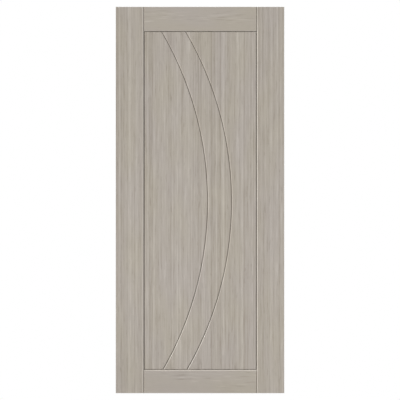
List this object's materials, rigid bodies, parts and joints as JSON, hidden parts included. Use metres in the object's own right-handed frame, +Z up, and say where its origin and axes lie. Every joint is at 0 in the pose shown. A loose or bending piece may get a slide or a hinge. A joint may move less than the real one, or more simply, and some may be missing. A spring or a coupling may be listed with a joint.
{
  "type": "interior door leaf",
  "caption": "Semi-solid core interior door leaf: stiles and rails in pale grey-brown wood-grain laminate around a flat panel with arc-shaped V-grooves.",
  "frame": {"origin": "On the face of the hinge edge, at the foot of the leaf and half way through its thickness.", "axes": "+X from the hinge edge to the lock edge, +Y from the front face to the back face, +Z up."},
  "size_m": [0.864, 0.035, 1.981],
  "materials": {
    "stile_laminate": "satin",
    "rail_laminate": "satin",
    "panel_laminate": "satin",
    "edge_band": "satin",
    "frame_timber": "matte",
    "core_chipboard": "matte"
  },
  "bodies": {
    "root": {"hinge_stile_core": "frame_timber", "hinge_stile_front_facing": "stile_laminate", "hinge_stile_back_facing": "stile_laminate", "hinge_edge_band": "edge_band", "lock_stile_core": "frame_timber", "lock_stile_front_facing": "stile_laminate", "lock_stile_back_facing": "stile_laminate", "lock_edge_band": "edge_band", "top_rail_core": "frame_timber", "top_rail_front_facing": "rail_laminate", "top_rail_back_facing": "rail_laminate", "bottom_rail_core": "frame_timber", "bottom_rail_front_facing": "rail_laminate", "bottom_rail_back_facing": "rail_laminate", "front_panel_skin": "panel_laminate", "back_panel_skin": "panel_laminate", "core_strip_1": "core_chipboard", "core_strip_2": "core_chipboard", "core_strip_3": "core_chipboard", "core_strip_4": "core_chipboard", "core_strip_5": "core_chipboard"}
  },
  "joints": []
}
